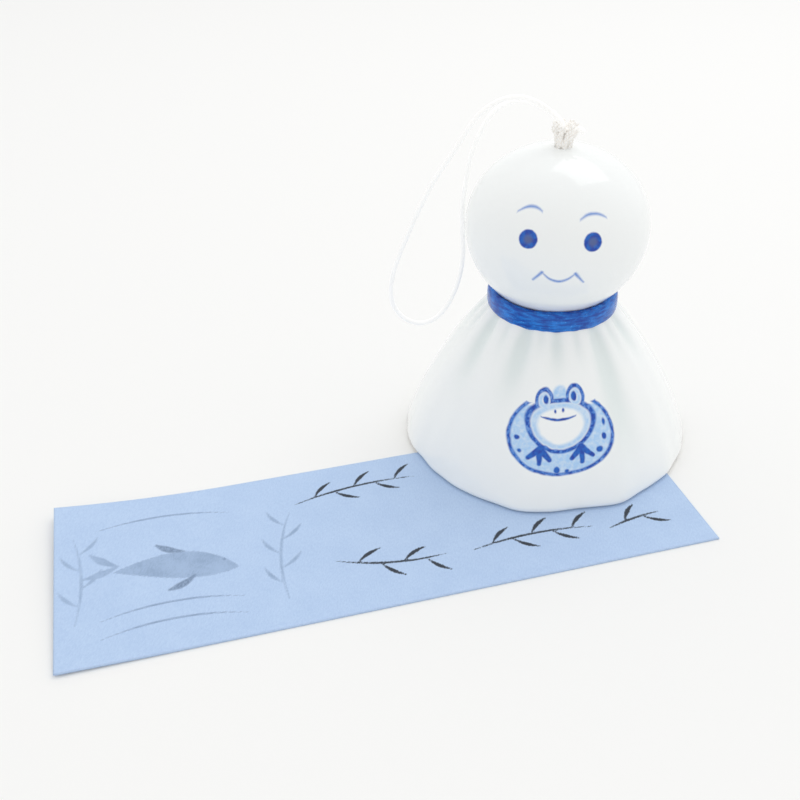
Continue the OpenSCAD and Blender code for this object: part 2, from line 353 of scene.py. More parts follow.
def bell_surface():
    """The closed skin of the wall: the middle line moved out by half the wall, round the rim's
    lip, back up inside, and round the crown hole. Pleats and the rim's soft waves move each
    point towards or away from the axis. Also how deep each point lies in a pleat."""
    middle, share, onset = wall_middle()
    heading = np.gradient(middle, axis=0)
    heading /= np.linalg.norm(heading, axis=1)[:, None]
    side = outward(heading)
    lip_start = math.atan2(side[-1, 1], side[-1, 0])
    lip = np.linspace(lip_start, lip_start - np.pi, LIP_ROWS + 2)[1:-1]
    lip_points = middle[-1] + HALF_WALL * np.stack([np.cos(lip), np.sin(lip)], 1)
    back = slice(None, None, -INSIDE_STEP)
    inside = (middle - HALF_WALL * side)[back]
    crown = np.radians(np.linspace(-60, 60, 5))
    crown_points = middle[0] + np.stack([-0.6 * np.cos(crown), HALF_WALL * np.sin(crown)], 1)
    line = np.concatenate([middle + HALF_WALL * side, lip_points, inside, crown_points])
    still = np.zeros(5)
    onset_inside = ((0.7 + 0.3 * share) * onset)[back]
    share = np.concatenate([share, 1 + 0 * lip, share[back], still])[:, None]
    onset = np.concatenate([onset, 1 + 0 * lip, onset_inside, still])[:, None]
    outside = np.concatenate([1 + 0 * middle[:, 0], 0 * lip, 0 * middle[back, 0], still])[:, None]
    azimuth = np.linspace(0, 360, COLUMNS, endpoint=False)[None]
    turn = np.radians(azimuth)
    groove = onset * pleat_depth(azimuth, share)
    wave = RIM_WAVE * share ** 2 * (
        0.6 * np.cos(5 * turn + math.radians(20)) + 0.4 * np.cos(8 * turn - math.radians(60))
    )
    for at, push, half_width in RIM_CORNERS:
        across = (azimuth - at + 180) % 360 - 180
        wave = wave + push * share ** 1.5 * np.exp(-(across / half_width) ** 2)
    for deep, number, start in FOLDS:
        wave = wave + deep * share * (1 - 0.4 * share) * np.sin(number * turn + start + 1.2 * share)
    hand = 0.09 * onset * np.sin(3 * turn + 2.1) * np.sin(4 * share + 1) + 0.05 * np.sin(2 * turn + 0.7)
    radius = line[:, :1] - groove + wave + hand * (line[:, :1] > 6)
    height = line[:, 1:] + 0 * azimuth
    points = np.stack([radius * np.sin(turn), -radius * np.cos(turn), height], -1)
    return points, {"pleat_groove_shade": groove, "outer_side": outside + 0 * groove}


def label(piece, values):
    """Stores named values on the points of a piece, for its material to read."""
    for name, value in values.items():
        layer = piece.data.attributes.new(name, "FLOAT", "POINT")
        layer.data.foreach_set("value", np.asarray(value, np.float32).ravel())


points, values = bell_surface()
bell = shown("bell", points.reshape(-1, 3), closed_rings(points.shape[:2], True))
label(bell, values)

# The decoration is brushed in cobalt on the raw body and lies under the clear glaze. On the
# head: two round eyes, thin brows and a wavy smile. On the skirt: a frog on a lily pad.
FACE_TURN = 3.0
FACE_R = 24.3
FROG_TURN = 8.5
FROG_R = 34.0
FROG_Z = RIM_Z + 20.6
COBALT_DEEP = (0.0, 0.045, 0.38, 1)
COBALT_LINE = (0.0, 0.17, 0.64, 1)
COBALT_WASH = (0.38, 0.62, 0.92, 1)

glaze = Finish("clear_glaze_on_porcelain", Coat_Roughness=0.03, IOR=1.45)
x, y, z = glaze.place()
azimuth = x.maths("ARCTAN2", y * -1)
brush = glaze.noise(glaze.joined(x, y, z), 0.9, 3.0)
tremble = (glaze.noise(glaze.joined(x, y, z), 0.45, 1.0) - 0.5) * 0.5
cloud = glaze.noise(glaze.joined(x, y, z), 0.05, 2.0)


def disc(u, v, at, half):
    """Distance outside an ellipse about at, taken as a scaled circle: negative inside."""
    across = (u - at[0]) / half[0]
    along = (v - at[1]) / half[1]
    return ((across * across + along * along) ** 0.5 - 1) * min(half)


def bow(u, v, peak, bend, reach, width):
    """Distance to a brush line v = peak_v - bend (u - peak_u)^2, cut off reach away from its peak
    and thinning towards both ends."""
    across = u - peak[0]
    ends = abs(across) / reach
    line = abs(v - peak[1] + across * across * bend)
    slope = (across * across * (4 * bend * bend) + 1) ** 0.5
    body = line / slope - width / 2 * (1 - 0.6 * ends * ends)
    return body.maths("MAXIMUM", abs(across) - reach)


def stroke(u, v, start, end, width):
    """Distance to a straight brush line from start to end, with widths at both."""
    step = (end[0] - start[0], end[1] - start[1])
    square = step[0] ** 2 + step[1] ** 2
    du, dv = u - start[0], v - start[1]
    share = (du * (step[0] / square) + dv * (step[1] / square)).maths("MAXIMUM", 0.0)
    share = share.maths("MINIMUM", 1.0)
    off_u, off_v = du - share * step[0], dv - share * step[1]
    return (off_u * off_u + off_v * off_v) ** 0.5 - (share * ((width[1] - width[0]) / 2) + width[0] / 2)


def nearest(*distances):
    """The union of several marks."""
    total = distances[0]
    for other in distances[1:]:
        total = total.maths("MINIMUM", other)
    return total


def face_lines(u, v):
    """The brows and the wavy smile."""
    return nearest(
        bow(u, v - (u + 9.3) * 0.12, (-9.3, HEAD_Z + 12.7), 0.085, 3.7, 0.62),
        bow(u, v + (u - 9.0) * 0.03, (9.0, HEAD_Z + 11.5), 0.08, 3.9, 0.62),
        bow(u, v, (0.1, HEAD_Z - 5.4), -0.14, 4.2, 0.74),
        stroke(u, v, (-4.1, HEAD_Z - 2.9), (-6.4, HEAD_Z - 5.5), (0.8, 0.5)),
        stroke(u, v, (4.2, HEAD_Z - 3.1), (6.6, HEAD_Z - 5.9), (0.85, 0.4)),
    )


def frog_marks(u, v):
    """The frog, as distances to its outline, its dark touches and its pale washes."""
    belly_u = u * ((v - 2.0) * -0.045 + 1.0).maths("MAXIMUM", 0.75)
    body = nearest(
        disc(belly_u, v, (0.0, 2.0), (9.2, 6.1)),
        disc(u, v, (-5.1, 8.1), (2.4, 2.5)),
        disc(u, v, (4.6, 8.7), (2.5, 2.6)),
    )
    pad = disc(u, v, (0.2, 0.2), (14.5, 10.0))
    notch = v - 5.6 - abs(u) * 0.14
    pad_line = abs(pad).maths("MAXIMUM", notch) - 0.42
    lines = nearest(abs(body) - 0.52, pad_line)
    pupils = nearest(
        disc(u, v, (-4.6, 8.3), (0.85, 1.1)),
        disc(u, v, (4.2, 8.9), (0.95, 1.15)),
    )
    smile = nearest(
        bow(u, v, (-0.6, 3.6), -0.03, 5.2, 0.75),
        disc(u, v, (-1.7, 5.6), (0.4, 0.5)),
        disc(u, v, (0.6, 5.8), (0.4, 0.5)),
    )
    fingers = nearest(*[
        stroke(u, v, (side * 5.4, -3.4), (side * (5.4 + out), -3.4 - down), (1.9, 1.2))
        for side in (-1, 1)
        for out, down in ((-2.6, 2.6), (0.0, 3.6), (2.8, 2.2))
    ])
    spots = nearest(*[
        disc(u, v, at, half)
        for at, half in (
            ((-11.7, -1.2), (0.8, 0.6)), ((-10.6, -4.3), (0.6, 0.5)), ((-1.0, -8.6), (0.8, 0.9)),
            ((1.4, -9.1), (0.5, 0.5)), ((10.2, -4.4), (0.9, 0.8)), ((11.9, -1.4), (0.7, 0.9)),
            ((12.4, 2.0), (0.5, 0.9)),
        )
    ])
    wash = nearest(
        pad.maths("MAXIMUM", body * -1).maths("MAXIMUM", notch),
        disc(u, v, (-0.2, 9.4), (2.6, 2.2)),
        abs(body + 1.2) - 0.7,
    )
    return lines, nearest(pupils, smile, fingers, spots), wash


turned = azimuth - math.radians(FACE_TURN)
face_u = turned * FACE_R + tremble * 0.4
face_v = z + tremble * 0.4
outer_side = glaze.node("ShaderNodeAttribute", {"attribute_name": "outer_side"}, out="Fac")
front = glaze.ramp(y, -2.0, 0.0, 1.0, 0.0) * outer_side
eyes = nearest(
    disc(face_u, face_v, (-8.3, HEAD_Z + 5.4), (2.5, 2.4)),
    disc(face_u, face_v, (8.25, HEAD_Z + 5.1), (2.45, 2.4)),
)
features = face_lines(face_u, face_v)
frog_u = (azimuth - math.radians(FROG_TURN)) * FROG_R + tremble
frog_v = (z - FROG_Z) + tremble * 0.8
frog_lines, frog_touches, frog_wash = frog_marks(frog_u, frog_v)

soft = (brush - 0.5) * 0.5
line_mask = glaze.ramp(frog_lines + soft * 0.5, -0.26, 0.24, 1.0, 0.0) * front
thin_mask = glaze.ramp(features + soft * 0.5, -0.4, 0.36, 0.88, 0.0) * front
dark_mask = glaze.ramp(nearest(eyes, frog_touches) + soft * 0.35, -0.26, 0.2, 1.0, 0.0) * front
wash_mask = glaze.ramp(frog_wash + soft, -0.6, 0.35, 1.0, 0.0) * front
eye_heart = glaze.ramp(eyes + soft * 0.6, -1.9, -0.7, 0.9, 0.0) * glaze.ramp(z, HEAD_Z, HEAD_Z + 2)

# painted shade: the body colour turns darker and greener the deeper a point lies in a pleat groove
hollow = glaze.node("ShaderNodeAttribute", {"attribute_name": "pleat_groove_shade"}, out="Fac")
depth = glaze.ramp(hollow + cloud * 0.25, 0.1, 1.3)
body_colour = glaze.blend(depth, (0.93, 0.95, 0.945, 1), (0.79, 0.85, 0.84, 1))
inked = glaze.blend(wash_mask * glaze.ramp(brush, 0.25, 0.7, 0.55, 0.95), body_colour, COBALT_WASH)
line_colour = glaze.blend(glaze.ramp(brush + cloud * 0.3, 0.5, 0.85), COBALT_LINE, COBALT_DEEP)
inked = glaze.blend(line_mask * glaze.ramp(brush, 0.2, 0.6, 0.75, 1.0), inked, line_colour)
inked = glaze.blend(thin_mask * glaze.ramp(brush, 0.2, 0.6, 0.7, 1.0), inked, COBALT_LINE)
dark_colour = glaze.blend(glaze.ramp(brush, 0.35, 0.65, 0.0, 0.6), COBALT_DEEP, COBALT_LINE)
dark_colour = glaze.blend(eye_heart, dark_colour, (0.085, 0.12, 0.29, 1))
inked = glaze.blend(dark_mask, inked, dark_colour)
# the foot of the rim is wiped clean of glaze before firing
foot = glaze.ramp(z + (brush - 0.5) * 0.5, RIM_Z + 0.25, RIM_Z + 0.7, 1.0, 0.0)
glaze.paint("Base Color", glaze.blend(foot, inked, (0.8, 0.76, 0.7, 1)))
glaze.paint("Roughness", foot * 0.6 + cloud * 0.05 + 0.07)
glaze.paint("Coat Weight", (1 - foot) * 0.3)
ripple = glaze.noise(glaze.joined(x, y, z), 0.12, 2.0)
pinholes = glaze.ramp(glaze.noise(glaze.joined(x, y, z), 0.8, 1.0), 0.2, 0.27, -1.0, 0.0)
glaze.bump(ripple * 1.0 + pinholes * 0.05, 0.25, 0.0006)
bell.data.materials.append(glaze.material)
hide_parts("bell_shell")
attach(bell, "bell")


# ---------------------------------------------------------------------------
# The neck ribbon: a soft clay band laid round the neck before firing, its
# outer face rounded by the finger, and brushed all over with uneven cobalt;
# its paler streaks and specks are painted highlights and glints.

ribbon_low, ribbon_high = (np.array(corner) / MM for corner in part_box("neck_ribbon"))
RIBBON_Z = (ribbon_low[2] + ribbon_high[2]) / 2
RIBBON_HALF_H = (ribbon_high[2] - ribbon_low[2]) / 2
RIBBON_OUT_R = ribbon_high[0]
RIBBON_HALF_T = 1.45


def ribbon_surface(around, across):
    """A ring whose section is a rounded oblong (a superellipse), a little uneven in height,
    thickness and level as it goes round."""
    turn = np.linspace(0, 2 * np.pi, around, endpoint=False)[:, None]
    angle = np.linspace(0, 2 * np.pi, across, endpoint=False)[None]
    rounded = lambda wave, power: np.sign(wave) * np.abs(wave) ** power
    half_h = RIBBON_HALF_H * (0.97 + 0.03 * np.sin(3 * turn + 1) + 0.02 * np.sin(7 * turn))
    half_t = RIBBON_HALF_T * (0.97 + 0.04 * np.sin(2 * turn + 0.4) + 0.02 * np.sin(9 * turn + 2))
    level = RIBBON_Z + 0.12 * np.sin(turn + 2) + 0.06 * np.sin(5 * turn)
    radius = RIBBON_OUT_R - RIBBON_HALF_T + half_t * rounded(np.cos(angle), 0.75)
    dent = 0.08 * np.exp(-((angle - 0.9) / 0.18) ** 2) * (1 + np.sin(2 * turn + 1))
    radius = radius - dent
    height = level - half_h * rounded(np.sin(angle), 0.62)
    return np.stack([radius * np.sin(turn), -radius * np.cos(turn), height + 0 * radius], -1)


points = ribbon_surface(300, 40)
ribbon = shown("ribbon", points.reshape(-1, 3), closed_rings(points.shape[:2], True))
cobalt = Finish("brushed_cobalt_glaze", IOR=1.45)
x, y, z = cobalt.place()
turned = x.maths("ARCTAN2", y * -1)
lane = cobalt.joined(turned * 3.0, z * 0.9, 0.0)
streak = cobalt.noise(lane, 1.6, 4.0, 0.62)
patch = cobalt.noise(cobalt.joined(x, y, z), 0.16, 2.0)
grain = cobalt.noise(cobalt.joined(x, y, z), 2.2, 2.0)
# uneven cobalt along brush streaks and patches, whose paler streaks also stand in as painted highlights on the
# glaze
strength = cobalt.ramp(streak * 0.75 + patch * 0.35 + grain * 0.12, 0.46, 0.78)
tone = cobalt.blend(strength, (0.0, 0.045, 0.34, 1), (0.01, 0.22, 0.74, 1))
# pale specks: painted glints on the glaze
painted_glint = cobalt.ramp(grain + (streak - 0.5) * 0.3, 0.66, 0.74)
tone = cobalt.blend(painted_glint * 0.5, tone, (0.15, 0.42, 0.82, 1))
cobalt.paint("Base Color", tone)
cobalt.paint("Roughness", streak * 0.2 + 0.08)
cobalt.bump(streak + grain * 0.3, 0.35, 0.0003)
ribbon.data.materials.append(cobalt.material)
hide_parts("neck_ribbon")
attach(ribbon, "bell")


# ---------------------------------------------------------------------------
# The hanging cord: one length of white braided cord, doubled into a loop. Its
# two ends go into the knot on the crown side by side, and it falls to the
# bell's left over the side of the head.

CORD_D = 1.4
CORD_STEP = 0.13
CORD_FIBRES = 5.0
LOOP_ROUTE = [
    (-2, -0.8, 97.3), (-4, -0.8, 99.2), (-7.2, -0.8, 101.2), (-11.5, -0.8, 102.3), (-16.5, -0.9, 101.4),
    (-21.6, -1, 97.8), (-25.8, -1, 91.8), (-29.6, -1, 85.6), (-33.8, -1, 79), (-37.4, -1, 71.8),
    (-40.6, -1, 64.4), (-43.6, -1, 56.8), (-45.9, -1, 49.4), (-46.4, -0.8, 42.2), (-43.8, -0.2, 36.4),
    (-38.6, 0.4, 33.8), (-33.2, 1.2, 35.8), (-29.4, 2.2, 41.2), (-27, 2.8, 48.2), (-26, 3, 55.6),
    (-26.2, 3, 63), (-26.3, 3, 70.4), (-25.4, 2.8, 77.6), (-24.2, 2.2, 84.8), (-21.8, 1.4, 91.8),
    (-18.4, 1, 97.6), (-14, 0.8, 100.6), (-9.6, 0.8, 100.9), (-5.4, 0.8, 99.4), (-2, 0.8, 97.2),
]


def eased(route, step):
    """A smooth curve through the route's points (Catmull-Rom), cut again at even steps."""
    p = np.array(route, float)
    a = np.concatenate([p[:1], p[:-1]])[:-1, None]
    b, c = p[:-1, None], p[1:, None]
    d = np.concatenate([p[1:], p[-1:]])[1:, None]
    t = np.linspace(0, 1, 24, endpoint=False)[None, :, None]
    curve = 0.5 * (2 * b + (c - a) * t + (2 * a - 5 * b + 4 * c - d) * t ** 2
                   + (3 * b - a - 3 * c + d) * t ** 3)
    curve = np.concatenate([curve.reshape(-1, 3), p[-1:]])
    run = np.concatenate([[0], np.cumsum(np.linalg.norm(np.diff(curve, axis=0), axis=1))])
    even = np.linspace(0, run[-1], max(8, int(run[-1] / step)))
    return np.stack([np.interp(even, run, curve[:, i]) for i in range(3)], 1), even


def carried_sides(path):
    """Two directions square to the path at each point, carried along it without twisting."""
    along = np.gradient(path, axis=0)
    along /= np.linalg.norm(along, axis=1)[:, None]
    side = np.zeros_like(path)
    start = np.eye(3)[np.argmin(np.abs(along[0]))]
    for i, heading in enumerate(along):
        start = start - heading * (start @ heading)
        start /= np.linalg.norm(start)
        side[i] = start
    return along, side, np.cross(along, side)


def tube(name, path, radius):
    """A tube round path: radius is an array of rings x sides, measured square to the path. Three
    smaller rings round off each end. The attribute yarn_height is 1 on the yarns' crests."""
    along, side, up = carried_sides(path)
    turn = np.linspace(0, 2 * np.pi, radius.shape[1], endpoint=False)[None, :, None]
    rings = path[:, None] + radius[..., None] * (np.cos(turn) * side[:, None] + np.sin(turn) * up[:, None])
    reach = radius[[0, -1]].mean(1)
    tips = []
    for end, sign in ((0, -1), (-1, 1)):
        for share, pull in ((0.86, 0.25), (0.5, 0.42), (0.02, 0.5)):
            centre = path[end] + sign * along[end] * reach[end] * pull
            tips.append(centre + (rings[end] - path[end]) * share)
    rings = np.concatenate([[tips[2], tips[1], tips[0]], rings, [tips[3], tips[4], tips[5]]])
    sides = rings.shape[1]
    last = (len(rings) - 1) * sides
    ends = [tuple(range(sides - 1, -1, -1)), tuple(range(last, last + sides))]
    faces = closed_rings(rings.shape[:2], False).tolist()
    made = shown(name, rings.reshape(-1, 3), faces + ends)
    height = np.concatenate([radius[[0, 0, 0]], radius, radius[[-1, -1, -1]]])
    label(made, {"yarn_height": (height - radius.min()) / max(np.ptp(radius), 1e-6)})
    return made


def braid_radius(run, radius, sides, pitch=1.7, relief=0.1):
    """Radius of a braided cord: two families of yarns wind opposite ways and pass over and under
    each other, so the higher of two sets of rounded ridges stands out at each place."""
    turn = np.linspace(0, 2 * np.pi, sides, endpoint=False)[None]
    along = 2 * np.pi * run[:, None] / pitch
    left = np.abs(np.cos(2 * turn + along / 2))
    right = np.abs(np.cos(2 * turn - along / 2))
    over = 0.5 + 0.5 * np.tanh(3 * np.sin(4 * turn) * np.sin(along))
    ridge = over * left ** 0.8 + (1 - over) * right ** 0.8
    return radius * (1 - relief + relief * ridge)


def cord_finish(name, colour, shade, fibre, painted_glow):
    """Matt cotton or polyester: pale yarns, painted shade darker between them, with fine fibres in the bump.
    Painted glow is light the cord gives off of its own, though it is no lamp, to brighten its shading."""
    # the emission is a painted glow that brightens the cord's shading
    made = Finish(name, Roughness=0.85, Sheen_Weight=0.3, Sheen_Roughness=0.5, Emission_Strength=painted_glow)
    px, py, pz = made.place()
    fine = made.noise(made.joined(px, py, pz), fibre, 3.0, 0.7)
    broad = made.noise(made.joined(px, py, pz), 0.25, 1.0)
    crest = made.node("ShaderNodeAttribute", {"attribute_name": "yarn_height"}, out="Fac")
    # the yarns' crests take the pale colour and the hollows between them the shade colour: painted shade
    # between the yarns, with random fibre tone mixed in
    light = crest * 0.7 + fine * 0.3 + broad * 0.15
    made.paint("Base Color", made.blend(made.ramp(light, 0.2, 0.75), shade, colour))
    made.bump(fine, 0.5, 0.0002)
    return made.material


# the white cord's shade colour is painted shade between its yarns, and 0.16 is its painted glow
WHITE_YARN = (0.98, 0.975, 0.96, 1)
WHITE_SHADE = (0.93, 0.92, 0.89, 1)
white_cord = cord_finish("white_braided_cord", WHITE_YARN, WHITE_SHADE, CORD_FIBRES, 0.16)
path, run = eased(LOOP_ROUTE, CORD_STEP)
loop = tube("hanging_cord", path, braid_radius(run, CORD_D / 2, 20))
loop.data.materials.append(white_cord)
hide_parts("hanging_loop")
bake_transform(loop)


# ---------------------------------------------------------------------------
# The crown knot: both strands of the cord tied in one tight overhand knot that
# sits on the crown hole, with one cut end left sticking out to the right.

knot_low, knot_high = (np.array(corner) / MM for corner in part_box("top_knot"))
# the knot's cord: its darker, browner colour between the yarns is painted shade in the knot's hollows, and 0.08
# is its painted glow
knot_cord = cord_finish("knot_cord_painted_shade_and_glow", (0.97, 0.96, 0.94, 1), (0.82, 0.76, 0.68, 1), CORD_FIBRES, 0.08)
KNOT_AT = (knot_low + knot_high) / 2
KNOT_STEP = 0.12
KNOT_PITCH = 1.5


def overhand(at, size, flare=0.0, start=0.55):
    """The path of a tight overhand knot: the three-lobed curve sin t + 2 sin 2t, cos t - 2 cos 2t,
    with sin 3t taking it over and under. It stands upright in a box of this size (width, depth,
    height) about a place, and flare widens it towards its top."""
    t = np.linspace(0, 2 * np.pi, 400) + start
    x, z = (np.sin(t) + 2 * np.sin(2 * t)) / 3, (np.cos(t) - 2 * np.cos(2 * t)) / 3
    curve = np.stack([x * (1 + flare * z), -np.sin(3 * t), z], 1) * np.array(size) / 2 + at
    run = np.concatenate([[0], np.cumsum(np.linalg.norm(np.diff(curve, axis=0), axis=1))])
    even = np.linspace(0, run[-1], int(run[-1] / KNOT_STEP))
    return np.stack([np.interp(even, run, curve[:, i]) for i in range(3)], 1), even


# Each turn of the knot: its box, its shift up or down, its flare and where it starts.
KNOT_TURNS = (
    ((5.9, 2.4, 6.0), 0.1, 0.22, 0.55),
    ((4.6, 3.8, 5.6), 0.0, 0.15, 1.6),
    ((3.0, 2.6, 5.6), -0.3, 0.1, 2.7),
)
for number, (size, drop, flare, start) in enumerate(KNOT_TURNS):
    path, run = overhand(KNOT_AT + (0, 0, drop), size, flare, start)
    knot = tube(f"crown_knot_{number + 1}", path, braid_radius(run, CORD_D / 2 + 0.06, 24, KNOT_PITCH, 0.22))
    knot.data.materials.append(knot_cord)
    if number == 0:
        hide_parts("top_knot")
    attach(knot, "bell")

# the turns of cord drawn up tight in the heart of the knot, which fill the hole under it
HEART_CORDS = 7
HEART_START = 12
HEART_OUT = np.array([1.4, 1.8, 2.1, 2.9])
HEART_TWIST = np.array([0, 0.15, 0.4, 0.75])
HEART_Z = np.array([88.5, 90.3, 92.8, 95.6])
for number in range(HEART_CORDS):
    turn = math.radians(number * 360 / HEART_CORDS + HEART_START) + HEART_TWIST
    x, y = KNOT_AT[0] + HEART_OUT * np.cos(turn), KNOT_AT[1] + HEART_OUT * np.sin(turn)
    path, run = eased(np.stack([x, y, HEART_Z], 1), KNOT_STEP)
    radius = braid_radius(run, CORD_D / 2 + 0.05, 20, KNOT_PITCH, 0.2)
    piece = tube(f"crown_knot_heart_{number + 1}", path, radius)
    piece.data.materials.append(knot_cord)
    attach(piece, "bell")

# the strands' last few millimetres, from the loop down into the knot
for number, side_y in enumerate((-0.8, 0.8)):
    route = [(-3, side_y, 98.2), (-2, side_y, 97.2), (-0.8, side_y * 0.9, 96), (0.2, side_y * 0.7, 94)]
    path, run = eased(route, CORD_STEP)
    neck = tube(f"strand_into_knot_{number + 1}", path, braid_radius(run, CORD_D / 2 - 0.01, 20))
    neck.data.materials.append(white_cord)
    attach(neck, "bell")

TAIL_ROUTE = [(1.2, -0.6, 93.6), (3.2, -0.6, 94.4), (4.2, -1, 94.6), (5, -1.5, 94)]
path, run = eased(TAIL_ROUTE, KNOT_STEP)
frayed = braid_radius(run, CORD_D / 2, 24) * (1 + 0.35 * np.clip(run / run[-1] - 0.6, 0, 1))[:, None]
tail = tube("cord_tail_end", path, frayed)
tail.data.materials.append(white_cord)
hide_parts("cord_tail")
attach(tail, "bell")


# ---------------------------------------------------------------------------
# Inside the crown: the two strands come down through the hole and through a
# turned wooden bead, and end in a knot under it that carries the bell.

crown_low, crown_high = (np.array(corner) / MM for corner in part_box("crown_strands"))
for number, side_x in enumerate((-1, 1)):
    centre = side_x * (CORD_D / 2 + 0.02)
    route = [(centre, 0, height) for height in (crown_high[2] + 0.8, 88, crown_low[2] - 0.3)]
    path, run = eased(route, CORD_STEP)
    strand = tube(f"crown_strand_{number + 1}", path, braid_radius(run, CORD_D / 2, 20))
    strand.data.materials.append(white_cord)
    if number == 0:
        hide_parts("crown_strands")
    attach(strand, "bell")


def turned_piece(name, outline, around=64):
    """A solid of revolution about the bell's axis: outline is a closed ring of [radius, height]."""
    outline = np.asarray(outline, float)
    turn = np.linspace(0, 2 * np.pi, around, endpoint=False)[None]
    r, h = outline[:, :1], outline[:, 1:]
    points = np.stack([r * np.cos(turn), r * np.sin(turn), h + 0 * turn], -1)
    return shown(name, points.reshape(-1, 3), closed_rings(points.shape[:2], True))


def ring_outline(bore, radius, low, high, soft, steps=8):
    """The section of a bored disc with rounded edges, going round once from the bore's foot."""
    corners = (
        (radius - soft, low + soft, -90), (radius - soft, high - soft, 0),
        (bore + soft, high - soft, 90), (bore + soft, low + soft, 180),
    )
    turns = [np.radians(first + np.linspace(0, 90, steps)) for _, _, first in corners]
    return np.concatenate([
        np.stack([r + soft * np.cos(t), h + soft * np.sin(t)], 1) for (r, h, _), t in zip(corners, turns)
    ])


bead_low, bead_high = (np.array(corner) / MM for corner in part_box("stop_bead"))
bead = turned_piece("stop_bead_wood", ring_outline(1.6, bead_high[0], bead_low[2], bead_high[2], 0.5))
wood = Finish("turned_wood", Roughness=0.55)
x, y, z = wood.place()
rings = wood.noise(wood.joined(x * 2.2, y * 0.4, z * 2.2), 0.9, 4.0, 0.6)
WOOD_DARK = (0.62, 0.44, 0.26, 1)
WOOD_PALE = (0.78, 0.62, 0.42, 1)
wood.paint("Base Color", wood.blend(wood.ramp(rings, 0.35, 0.65), WOOD_DARK, WOOD_PALE))
wood.bump(rings, 0.3, 0.0002)
bead.data.materials.append(wood.material)
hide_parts("stop_bead")
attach(bead, "bell")

inner_low, inner_high = (np.array(corner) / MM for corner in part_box("inner_knot"))
path, run = overhand((inner_low + inner_high) / 2, (3.6, 2.4, 2.2))
inner = tube("inner_cord_knot", path, braid_radius(run, CORD_D / 2, 20))
inner.data.materials.append(white_cord)
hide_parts("inner_knot")
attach(inner, "bell")


# ---------------------------------------------------------------------------
# The clapper: a small glazed porcelain bead on a thin twisted line, held by a
# knot under its bore. A small knot at the line's top turns in the cord's end.

LINE_D = 1.0


def twist_radius(run, radius, sides, pitch=2.4, plies=3, relief=0.2):
    """Radius of a twisted line: rounded plies winding one way round it."""
    turn = np.linspace(0, 2 * np.pi, sides, endpoint=False)[None]
    wave = np.abs(np.cos(plies / 2 * turn - np.pi * run[:, None] * plies / pitch))
    return radius * (1 - relief + relief * wave ** 0.7)


# the thread's shade colour is painted shade between its plies, and 0.04 is its painted glow
thread_white = cord_finish("white_twisted_thread", (0.9, 0.89, 0.85, 1), (0.74, 0.73, 0.69, 1), 7.0, 0.04)


def small_knot(name, node, radius):
    """A ball of thread wound in three turns, in the place of a CAD node."""
    low, high = (np.array(corner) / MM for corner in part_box(node))
    half = (high - low) / 2
    path, run = overhand((low + high) / 2, 2 * (half - radius))
    made = tube(name, path, twist_radius(run, radius, 18))
    made.data.materials.append(thread_white)
    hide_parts(node)
    return made


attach(small_knot("line_top_knot", "line_knot", 0.5), "line_turn")

line_low, line_high = (np.array(corner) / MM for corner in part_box("clapper_line"))
path, run = eased([(0, 0, line_high[2]), (0, 0, 50), (0, 0, line_low[2])], 0.2)
line = tube("clapper_cord", path, twist_radius(run, LINE_D / 2, 18))
line.data.materials.append(thread_white)
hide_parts("clapper_line")
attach(line, "clapper")

clapper_low, clapper_high = (np.array(corner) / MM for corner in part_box("clapper"))
BORE_R = 0.9
CLAPPER_R = clapper_high[0]
CLAPPER_Z = clapper_low[2] + math.sqrt(CLAPPER_R ** 2 - BORE_R ** 2)


def clapper_outline():
    """From the bore's foot: round the ball, in to a short neck, over the collar, down the bore."""
    ball = np.radians(np.linspace(-83, 62, 44))
    sphere = np.stack([CLAPPER_R * np.cos(ball), CLAPPER_Z + CLAPPER_R * np.sin(ball)], 1)
    collar = bezier(
        (sphere[-1], (3.2, sphere[-1][1] + 1.0), (3.1, clapper_high[2] - 1.6), (2.7, clapper_high[2] - 0.5)),
        np.linspace(0.1, 1, 10),
    )
    top = [(2.2, clapper_high[2]), (1.4, clapper_high[2]), (BORE_R, clapper_high[2] - 0.5)]
    bore = [(BORE_R, h) for h in np.linspace(clapper_high[2] - 2, clapper_low[2] + 0.6, 8)]
    return np.concatenate([sphere, collar, top, bore])


clapper = turned_piece("clapper_bead", clapper_outline(), 96)
bead_glaze = Finish("clear_glaze_on_bead", Coat_Weight=0.6, Coat_Roughness=0.04, IOR=1.5)
x, y, z = bead_glaze.place()
drift = bead_glaze.noise(bead_glaze.joined(x, y, z), 0.3, 2.0)
band = abs(z - CLAPPER_Z + (drift - 0.5) * 0.8)
ring_mask = bead_glaze.ramp(band, 0.45, 0.75, 1.0, 0.0)
shade = bead_glaze.blend(bead_glaze.ramp(drift, 0.3, 0.7), (0.84, 0.87, 0.875, 1), (0.78, 0.83, 0.83, 1))
bead_glaze.paint("Base Color", bead_glaze.blend(ring_mask, shade, COBALT_LINE))
bead_glaze.paint("Roughness", drift * 0.08 + 0.06)
bead_glaze.bump(drift, 0.25, 0.0004)
clapper.data.materials.append(bead_glaze.material)
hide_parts("clapper")
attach(clapper, "clapper")

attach(small_knot("clapper_stop_knot", "clapper_knot", 0.55), "clapper")


# ---------------------------------------------------------------------------
# The strip's thread: it lies slack under the standing bell, from the clapper
# to the strip's hole, and hangs straight down when the bell is lifted.

